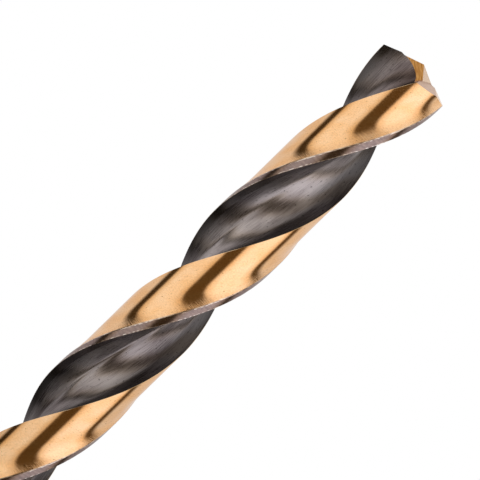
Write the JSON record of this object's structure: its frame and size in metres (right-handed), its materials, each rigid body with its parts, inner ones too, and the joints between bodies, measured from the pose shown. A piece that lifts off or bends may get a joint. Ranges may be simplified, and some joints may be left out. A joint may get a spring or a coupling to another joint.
{
  "type": "twist drill bit",
  "caption": "Straight-shank twist drill bit with spiral flutes, narrow margins beside relieved golden lands, dark flutes and a split point.",
  "frame": {"origin": "centre of the flat shank end face", "axes": "+Z along the drill's axis towards the point; -X and +X are square to the outer lips, which run along Y"},
  "size_m": [0.01, 0.01, 0.133],
  "materials": {
    "twist_drill": "two-tone: black-oxide flutes, golden bronze lands, grey ground margins, bright ground point"
  },
  "bodies": {
    "root": {"twist_drill": "twist_drill"}
  },
  "joints": []
}
